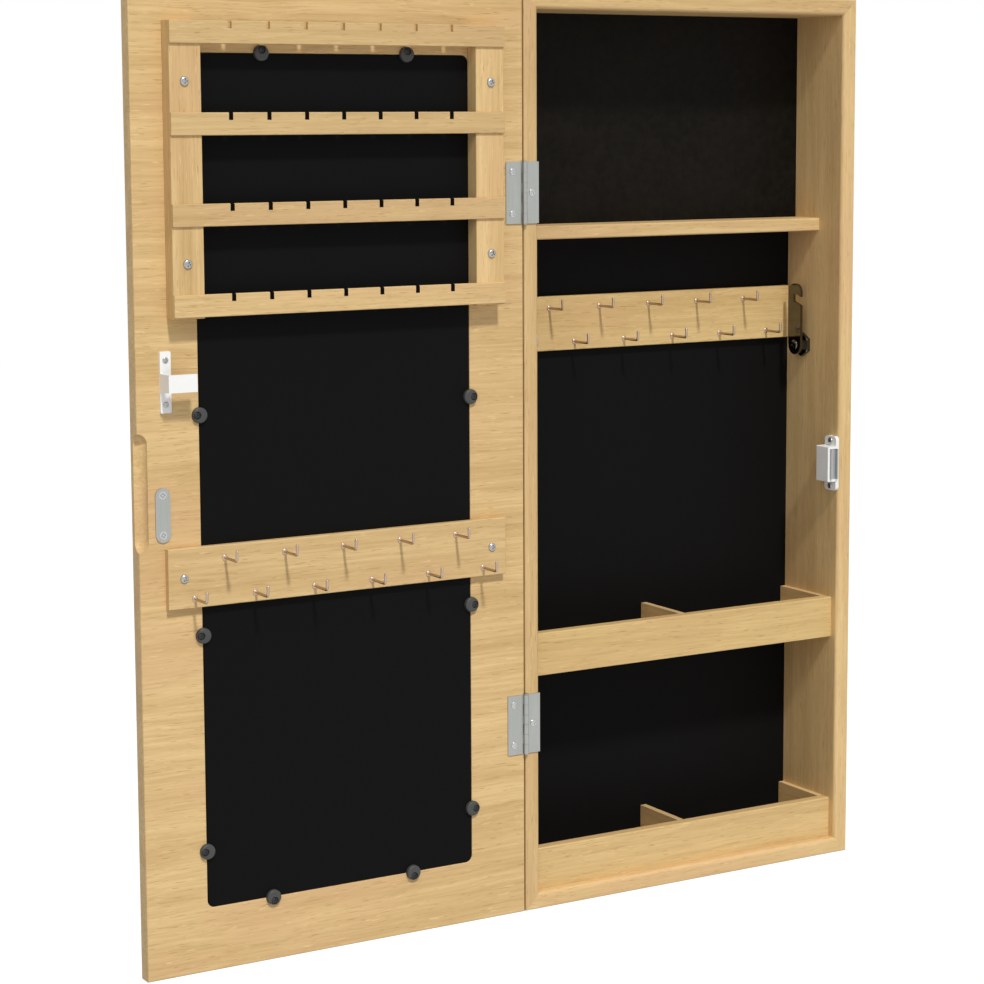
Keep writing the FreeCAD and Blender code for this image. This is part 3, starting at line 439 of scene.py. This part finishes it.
def smoothed(tree, geometry, angle=0.6):
    inputs = {"Geometry": geometry, "Shade Smooth": True}
    soft = addNode(tree, "GeometryNodeSetShadeSmooth", inputs).outputs[0]
    inputs = {0: tree.nodes.new("GeometryNodeInputMeshEdgeAngle").outputs["Unsigned Angle"], 1: angle}
    sharp = addNode(tree, "FunctionNodeCompare", inputs, data_type="FLOAT", operation="GREATER_THAN")
    inputs = {"Geometry": soft, "Selection": sharp.outputs[0], "Shade Smooth": False}
    return addNode(tree, "GeometryNodeSetShadeSmooth", inputs, domain="EDGE").outputs[0]


def spread(tree, given, out, shape):
    # sets the shape on every point, aims it, spins it about its own axis and makes it real
    spin = addNode(tree, "GeometryNodeInputNamedAttribute", {"Name": "spin"}, data_type="FLOAT").outputs[0]
    inputs = {"Points": given["Geometry"], "Instance": shape, "Rotation": given["Aim"]}
    copies = addNode(tree, "GeometryNodeInstanceOnPoints", inputs).outputs[0]
    inputs = {"Instances": copies, "Rotation": combine(tree, Z=spin)}
    turned = addNode(tree, "GeometryNodeRotateInstances", inputs).outputs[0]
    real = addNode(tree, "GeometryNodeRealizeInstances", {"Geometry": turned}).outputs[0]
    inputs = {"Geometry": real, "Material": given["Finish"]}
    tree.links.new(addNode(tree, "GeometryNodeSetMaterial", inputs).outputs[0], out["Geometry"])


# arm and reach are shares of the head's radius, the recess of its height, the point of the shank's radius
screw = {"arm": 0.34, "reach": 1.16, "recessDepth": 0.62, "shoulder": 0.72, "point": 2.0, "tip": 0.2,
         "turn": 0.6, "headSides": 40, "headRings": 28, "shankSides": 16}


def recessCross(tree, radius, top, depth):
    arm = times(tree, radius, screw["arm"])
    reach = times(tree, radius, screw["reach"])
    tall = times(tree, depth, 2.0)
    bars = []
    for across, length in ((arm, reach), (reach, arm)):
        size = combine(tree, X=across, Y=length, Z=tall)
        bar = addNode(tree, "GeometryNodeMeshCube", {"Size": size}).outputs[0]
        bars.append(moved(tree, bar, combine(tree, Z=top)))
    return bars


def shankOf(tree, radius, length):
    point = times(tree, radius, screw["point"])
    body = minus(tree, length, point)
    rod = cylinder(tree, radius, body, screw["shankSides"])
    rod = moved(tree, rod, combine(tree, Z=times(tree, body, -0.5)))
    end = cone(tree, radius, screw["tip"] * mm, point, screw["shankSides"])
    return [rod, moved(tree, end, combine(tree, Z=times(tree, length, -1.0)))]


screwSizes = ("Head Radius", "Head Height", "Recess Depth", "Shank Radius", "Shank Length")


def makePanTree():
    tree, given, out = newTree("panScrews", *screwSizes)
    radius, height = given["Head Radius"], given["Head Height"]
    head = puck(tree, radius, height, screw["shoulder"], screw["headSides"], screw["headRings"])
    cut = cutFrom(tree, head, recessCross(tree, radius, height, given["Recess Depth"]))
    whole = joined(tree, [cut] + shankOf(tree, given["Shank Radius"], given["Shank Length"]))
    spread(tree, given, out, smoothed(tree, whole))
    return tree


def makeFlushTree():
    tree, given, out = newTree("flushScrews", *screwSizes)
    radius, height = given["Head Radius"], given["Head Height"]
    head = cone(tree, radius, given["Shank Radius"], height, screw["headSides"])
    head = moved(tree, head, combine(tree, Z=times(tree, height, -1.0)))
    cut = cutFrom(tree, head, recessCross(tree, radius, 0.0, given["Recess Depth"]))
    whole = joined(tree, [cut] + shankOf(tree, given["Shank Radius"], given["Shank Length"]))
    spread(tree, given, out, smoothed(tree, whole))
    return tree


# lengths in millimetres, and the most that a hook leans in degrees
hook = {"root": 4.0, "tipRise": 6.5, "bend": 2.4, "wireRadius": 1.0, "collarRadius": 2.1,
        "collarHeight": 0.9, "collarShoulder": 0.7, "turn": 2.5, "sharpAngle": 0.9, "bendSteps": 9,
        "wireSides": 16, "tipRings": 12, "collarSides": 24, "collarRings": 12}


def makeHookTree():
    tree, given, out = newTree("jewelleryHooks", "Reach", "Tip Rise", "Bend", "Root", "Wire Radius",
                               "Collar Radius", "Collar Height")
    line = addNode(tree, "GeometryNodeMeshLine", {"Count": 3}).outputs[0]
    index = tree.nodes.new("GeometryNodeInputIndex").outputs[0]

    def isPoint(number):
        return addNode(tree, "FunctionNodeCompare", {2: index, 3: number}, data_type="INT",
                       operation="EQUAL").outputs[0]

    def choose(condition, otherwise, value):
        inputs = {"Switch": condition, "False": otherwise, "True": value}
        return addNode(tree, "GeometryNodeSwitch", inputs, input_type="FLOAT").outputs[0]

    along = choose(isPoint(0), given["Reach"], times(tree, given["Root"], -1.0))
    rise = choose(isPoint(2), 0.0, given["Tip Rise"])
    inputs = {"Geometry": line, "Position": combine(tree, Y=rise, Z=along)}
    line = addNode(tree, "GeometryNodeSetPosition", inputs).outputs[0]
    path = addNode(tree, "GeometryNodeMeshToCurve", {"Mesh": line}).outputs[0]
    inputs = {"Curve": path, "Radius": given["Bend"], "Count": hook["bendSteps"]}
    path = addNode(tree, "GeometryNodeFilletCurve", inputs, mode="POLY").outputs[0]
    inputs = {"Resolution": hook["wireSides"], "Radius": given["Wire Radius"]}
    ring = addNode(tree, "GeometryNodeCurvePrimitiveCircle", inputs, mode="RADIUS").outputs[0]
    inputs = {"Curve": path, "Profile Curve": ring, "Fill Caps": True}
    wire = addNode(tree, "GeometryNodeCurveToMesh", inputs).outputs[0]
    ball = sphere(tree, given["Wire Radius"], hook["wireSides"], hook["tipRings"])
    tip = moved(tree, ball, combine(tree, Y=given["Tip Rise"], Z=given["Reach"]))
    collar = puck(tree, given["Collar Radius"], given["Collar Height"], hook["collarShoulder"],
                  hook["collarSides"], hook["collarRings"])
    spread(tree, given, out, smoothed(tree, joined(tree, [wire, tip, collar]), hook["sharpAngle"]))
    return tree


clip = {"dimpleRadius": 2.7, "dimpleDepth": 1.4, "shoulder": 0.34, "sides": 56, "rings": 40,
        "dimpleSides": 40}


def makeClipTree():
    tree, given, out = newTree("mirrorClips", "Radius", "Thickness", "Shoulder", "Dimple Radius",
                               "Dimple Offset", "Dimple Depth")
    disc = puck(tree, given["Radius"], given["Thickness"], given["Shoulder"], clip["sides"], clip["rings"])
    tall = times(tree, given["Dimple Depth"], 2.0)
    drill = cylinder(tree, given["Dimple Radius"], tall, clip["dimpleSides"])
    drill = moved(tree, drill, combine(tree, X=given["Dimple Offset"], Z=given["Thickness"]))
    spread(tree, given, out, smoothed(tree, cutFrom(tree, disc, drill)))
    return tree


def grow(name, tree, points, spins, sizes, finish, body, slot, *replaced):
    # grows a tree on its points, then keeps the plain mesh
    mesh = bpy.data.meshes.new(name)
    mesh.from_pydata([tuple(point) for point in points], [], [])
    mesh.attributes.new("spin", "FLOAT", "POINT").data.foreach_set("value", spins)
    piece = bpy.data.objects.new(name, mesh)
    bpy.context.scene.collection.objects.link(piece)
    modifier = piece.modifiers.new(name, "NODES")
    modifier.node_group = tree
    for item in tree.interface.items_tree:
        if item.in_out == "INPUT" and item.name in sizes:
            modifier[item.identifier] = sizes[item.name]
        elif item.in_out == "INPUT" and item.name == "Finish":
            modifier[item.identifier] = finish
    bpy.context.view_layer.update()
    evaluated = piece.evaluated_get(bpy.context.evaluated_depsgraph_get())
    grown = bpy.data.meshes.new_from_object(evaluated)
    piece.modifiers.clear()
    piece.data = grown
    grown.name = name
    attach(piece, body)
    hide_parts(*replaced)
    print("grown:", name, len(points), "copies,", len(grown.polygons), "faces")


panTree = makePanTree()
flushTree = makeFlushTree()
hookTree = makeHookTree()
clipTree = makeClipTree()
turnOf = random.Random(4)

# head height and shank radius in millimetres; the seats and the rest come from the CAD screws
screwSets = {
    "rack_screws": (1.9, 1.5, aimRoom, "door", brightZinc, "bright_zinc"),
    "hook_board_screws": (1.7, 1.4, aimRoom, "door", brightZinc, "bright_zinc"),
    "hinge_door_screws": (0.8, 1.2, aimRoom, "door", polishedZinc, "bright_zinc"),
    "strike_screws": (1.0, 1.1, aimRoom, "door", brightZinc, "bright_zinc"),
    "clip_screws": (1.0, 1.1, aimRoom, "door", blackScrew, "black_screw"),
    "hinge_frame_screws": (0.8, 1.2, aimRoom, "cabinet", polishedZinc, "bright_zinc"),
    "catch_screws": (1.2, 1.2, aimLeft, "cabinet", brightZinc, "bright_zinc"),
    "cam_screw": (1.4, 1.4, aimLeft, "lock_rotor", darkChrome, "dark_chrome"),
}
flushSets = {
    "catch_plate_screws": (1.6, 1.2, aimRoom, "door", polishedZinc, "bright_zinc"),
    "hanger_screws": (1.3, 1.2, aimWall, "cabinet", brightZinc, "bright_zinc"),
}


def seatOf(box, aim, headHeight):
    low, high = box
    seat = (low + high) / 2
    if aim == aimRoom:
        seat.y = low.y + headHeight
    elif aim == aimWall:
        seat.y = high.y - headHeight
    else:
        seat.x = low.x + headHeight
    return seat


def growScrews(node, tree, raised, headHeight, shankRadius, aim, body, finish, slot):
    boxes = islandBoxes(node)
    reach = boxes[0][1] - boxes[0][0]
    length = (reach.x if aim == aimLeft else reach.y) - (headHeight * mm if raised else 0)
    sizes = {"Head Radius": reach.z / 2, "Head Height": headHeight * mm,
             "Recess Depth": headHeight * mm * screw["recessDepth"], "Shank Radius": shankRadius * mm,
             "Shank Length": length, "Aim": aim}
    seats = [seatOf(box, aim, headHeight * mm if raised else 0) for box in boxes]
    spins = [turnOf.uniform(-screw["turn"], screw["turn"]) for _ in seats]
    name = node.replace("_", " ").title().replace(" ", "")
    grow(name[0].lower() + name[1:], tree, seats, spins, sizes, finish, body, slot, node)


for node, choice in screwSets.items():
    growScrews(node, panTree, True, *choice)
for node, choice in flushSets.items():
    growScrews(node, flushTree, False, *choice)

for node, body in (("cabinet_hooks", "cabinet"), ("door_hooks", "door")):
    boxes = islandBoxes(node)
    reach = boxes[0][1].y - boxes[0][0].y - (hook["root"] + hook["wireRadius"]) * mm
    seats = [Vector(((low.x + high.x) / 2, high.y - hook["root"] * mm, low.z + hook["collarRadius"] * mm))
             for low, high in boxes]
    spins = [math.radians(turnOf.uniform(-hook["turn"], hook["turn"])) for _ in seats]
    sizes = {"Reach": reach, "Tip Rise": hook["tipRise"] * mm, "Bend": hook["bend"] * mm,
             "Root": hook["root"] * mm, "Wire Radius": hook["wireRadius"] * mm,
             "Collar Radius": hook["collarRadius"] * mm, "Collar Height": hook["collarHeight"] * mm,
             "Aim": aimRoom}
    grow(body + "HookSet", hookTree, seats, spins, sizes, hookNickel, body, "hook_nickel", node)

screwSpots = [(low + high) / 2 for low, high in islandBoxes("clip_screws")]
clipSeats = []
clipSpins = []
for low, high in islandBoxes("mirror_clips"):
    middle = (low + high) / 2
    nearest = min(screwSpots, key=lambda spot: (spot.x - middle.x) ** 2 + (spot.z - middle.z) ** 2)
    clipSeats.append(Vector((middle.x, high.y, middle.z)))
    clipSpins.append(math.atan2(nearest.z - middle.z, nearest.x - middle.x))
offset = math.hypot(nearest.x - middle.x, nearest.z - middle.z)
clipSizes = {"Radius": (high.x - low.x) / 2, "Thickness": high.y - low.y, "Shoulder": clip["shoulder"],
             "Dimple Radius": clip["dimpleRadius"] * mm, "Dimple Offset": offset,
             "Dimple Depth": clip["dimpleDepth"] * mm, "Aim": aimRoom}
grow("mirrorClipSet", clipTree, clipSeats, clipSpins, clipSizes, clipPlastic, "door", "black_plastic",
     "mirror_clips")


# lengths in metres, the key's width in degrees
stage = {"ambient": 0.31,
         "floor": {"drop": 0.78, "size": 24.0, "bounce": 0.5, "shadowed": 0.3, "glow": 0.80},
         "key": {"strength": 2.42, "angle": 6.0, "travel": (0.13, 1.0, -1.27)},
         "fills": {"low": {"power": 9.0, "size": 1.6, "place": (-0.15, -2.0, -0.85),
                           "target": (-0.15, 0.0, 0.0)},
                   "left": {"power": 6.0, "size": 1.2, "place": (-1.6, -1.2, 0.9),
                            "target": (0.1, 0.0, 0.1)}}}
white = (1.0, 1.0, 1.0, 1.0)


def seenDirectly(tree):
    path = tree.nodes.new("ShaderNodeLightPath").outputs
    seen = addMath(tree, "MAXIMUM", path["Is Camera Ray"], path["Is Glossy Ray"])
    return addMath(tree, "MAXIMUM", seen, path["Is Transmission Ray"])


def makeFloor():
    settings = stage["floor"]
    size = settings["size"] / 2
    level = cadBounds[0].z - settings["drop"]
    corners = [(-size, -size, level), (size, -size, level), (size, size, level), (-size, size, level)]
    mesh = bpy.data.meshes.new("floor")
    mesh.from_pydata(corners, [], [(0, 1, 2, 3)])
    floor = bpy.data.objects.new("floor", mesh)
    bpy.context.scene.collection.objects.link(floor)
    material = bpy.data.materials.new("paleFloor")
    material.use_nodes = True
    tree = material.node_tree
    tree.nodes.clear()

    def paint(grey):
        return addNode(tree, "ShaderNodeBsdfDiffuse", {"Color": (grey, grey, grey, 1.0)}).outputs[0]

    glow = addNode(tree, "ShaderNodeEmission", {"Color": white, "Strength": settings["glow"]}).outputs[0]
    seen = addNode(tree, "ShaderNodeAddShader", {0: paint(settings["shadowed"]), 1: glow}).outputs[0]
    inputs = {0: seenDirectly(tree), 1: paint(settings["bounce"]), 2: seen}
    addNode(tree, "ShaderNodeOutputMaterial", {0: addNode(tree, "ShaderNodeMixShader", inputs).outputs[0]})
    mesh.materials.append(material)


def makeWorld():
    world = bpy.data.worlds.new("paleStudio")
    world.use_nodes = True
    tree = world.node_tree
    tree.nodes.clear()
    inputs = {"Value": seenDirectly(tree), "To Min": stage["ambient"], "To Max": 1.0}
    strength = addNode(tree, "ShaderNodeMapRange", inputs).outputs["Result"]
    back = addNode(tree, "ShaderNodeBackground", {"Color": white, "Strength": strength}).outputs[0]
    addNode(tree, "ShaderNodeOutputWorld", {0: back})
    bpy.context.scene.world = world


def placeLamp(lamp, travel):
    holder = bpy.data.objects.new(lamp.name, lamp)
    holder.rotation_euler = Vector(travel).to_track_quat("-Z", "Y").to_euler()
    bpy.context.scene.collection.objects.link(holder)
    return holder


def makeKey():
    lamp = bpy.data.lights.new("key", "SUN")
    lamp.energy = stage["key"]["strength"]
    lamp.angle = math.radians(stage["key"]["angle"])
    placeLamp(lamp, stage["key"]["travel"])


def makeFills():  # one low in front brightens the foot, one high at the left reaches the right-hand wall
    for name, fill in stage["fills"].items():
        lamp = bpy.data.lights.new(name + "Fill", "AREA")
        lamp.energy = fill["power"]
        lamp.size = fill["size"]
        holder = placeLamp(lamp, Vector(fill["target"]) - Vector(fill["place"]))
        holder.location = fill["place"]
        holder.visible_glossy = False


camera = {"place": (-1.1073, -1.6228, 0.2455), "yaw": 30.91, "pitch": 7.02, "roll": -0.256, "lens": 93.2,
          "sensor": 36.0, "shiftY": -0.06}


def makeCamera():
    data = bpy.data.cameras.new("photoView")
    data.lens = camera["lens"]
    data.sensor_width = camera["sensor"]
    data.shift_y = camera["shiftY"]
    view = bpy.data.objects.new("photoView", data)
    yaw, pitch, roll = (math.radians(camera[key]) for key in ("yaw", "pitch", "roll"))
    ahead = Vector((math.sin(yaw) * math.cos(pitch), math.cos(yaw) * math.cos(pitch), -math.sin(pitch)))
    aside = Vector((math.cos(yaw), -math.sin(yaw), 0.0))
    aside.rotate(Quaternion(ahead, -roll))
    above = aside.cross(ahead)
    view.rotation_euler = Matrix((aside, above, -ahead)).transposed().to_euler()
    view.location = camera["place"]
    bpy.context.scene.collection.objects.link(view)
    bpy.context.scene.camera = view


makeFloor()
makeWorld()
makeKey()
makeFills()
makeCamera()
bpy.context.scene.view_settings.view_transform = "Standard"
print("stage, light and camera set")
